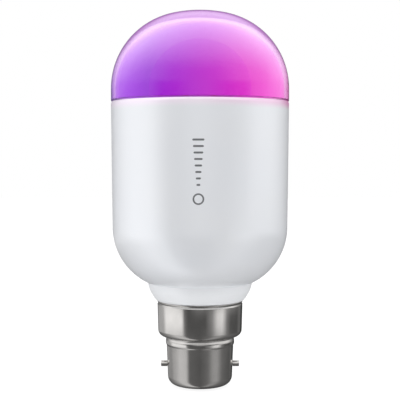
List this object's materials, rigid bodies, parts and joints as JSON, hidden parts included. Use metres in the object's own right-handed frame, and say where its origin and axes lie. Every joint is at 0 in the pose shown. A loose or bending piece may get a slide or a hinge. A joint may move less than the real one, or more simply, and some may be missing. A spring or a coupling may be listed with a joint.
{
  "type": "smart light bulb",
  "caption": "Colour-changing LED bulb: opal dome over a white capsule body, narrow collar and a two-pin bayonet cap, with its driver, radio and LED boards inside.",
  "frame": {"origin": "centre of the contact plane, where the two contact plates meet the lampholder's plungers, on the bulb's axis", "axes": "+Z along the bulb's axis towards the dome, +X and -X along the bayonet pins, +Y and -Y through the contact plates; the printed mark faces -Y"},
  "size_m": [0.06, 0.06, 0.127],
  "materials": {
    "clear_plastic": "clear, polished, lit from inside",
    "opal_plastic": "opal, lit from inside",
    "inner_opal": "satin opal",
    "body_white": "satin pearl white",
    "collar_white": "satin white",
    "nickel_plate": "polished nickel plate over brass",
    "pin_brass": "nickel plated, turned",
    "contact_brass": "stamped",
    "solder": "bright tin solder",
    "black_glass": "glossy black glass",
    "adhesive": "cured resin",
    "aluminium": "drawn, as rolled",
    "silicone_grey": "soft silicone",
    "silicone_white": "soft silicone",
    "board_white": "white solder mask",
    "board_green": "green solder mask",
    "board_black": "black solder mask",
    "reflector": "matte white film",
    "led_body": "moulded white",
    "phosphor": "yellow phosphor in silicone",
    "clear_resin": "clear resin",
    "housing_plastic": "moulded, flame retardant",
    "can_sleeve": "shrink sleeve",
    "ceramic_grey": "cement coated",
    "disc_blue": "dipped epoxy",
    "film_yellow": "moulded box",
    "ferrite": "sintered",
    "copper": "enamelled copper",
    "tape_yellow": "polyester tape",
    "phenolic": "moulded phenolic",
    "package_black": "moulded epoxy",
    "tinned_wire": "tinned",
    "sleeve_red": "silicone insulated wire",
    "sleeve_blue": "silicone insulated wire",
    "screw_steel": "zinc plated",
    "shield_tin": "tin plated"
  },
  "bodies": {
    "root": {"bayonet_pins": "pin_brass", "board_screws": "screw_steel", "body_shell": "body_white", "bridge_rectifier": "package_black", "bulk_capacitor": "can_sleeve", "cap_adhesive": "adhesive", "cap_insulator": "black_glass", "cap_shell": "nickel_plate", "chip_resistors": "package_black", "choke_core": "ferrite", "choke_winding": "copper", "component_leads": "tinned_wire", "contact_eyelets": "contact_brass", "contact_plates": "contact_brass", "contact_solder": "solder", "diffuser_dome": "clear_plastic", "diffuser_liner": "opal_plastic", "diffuser_seal": "silicone_white", "driver_board": "board_green", "driver_chip": "package_black", "driver_housing": "housing_plastic", "driver_solder": "solder", "film_capacitor": "film_yellow", "fuse_resistor": "ceramic_grey", "header_pins": "contact_brass", "header_solder": "solder", "heat_sink": "aluminium", "housing_lid": "housing_plastic", "inner_diffuser": "inner_opal", "led_board": "board_white", "led_header": "package_black", "led_switches": "package_black", "mains_conductors": "tinned_wire", "mains_lead_live": "sleeve_red", "mains_lead_neutral": "sleeve_blue", "neck_collar": "collar_white", "output_capacitor": "can_sleeve", "output_diode": "package_black", "radio_antenna": "copper", "radio_board": "board_black", "radio_chips": "package_black", "radio_header": "package_black", "radio_shield": "shield_tin", "reflector_sheet": "reflector", "rgb_leds": "led_body", "rgb_resin": "clear_resin", "spreader_plate": "aluminium", "thermal_pad": "silicone_grey", "transformer_bobbin": "phenolic", "transformer_core": "ferrite", "transformer_winding": "tape_yellow", "varistor": "disc_blue", "white_leds": "led_body", "white_phosphor": "phosphor"}
  },
  "joints": []
}
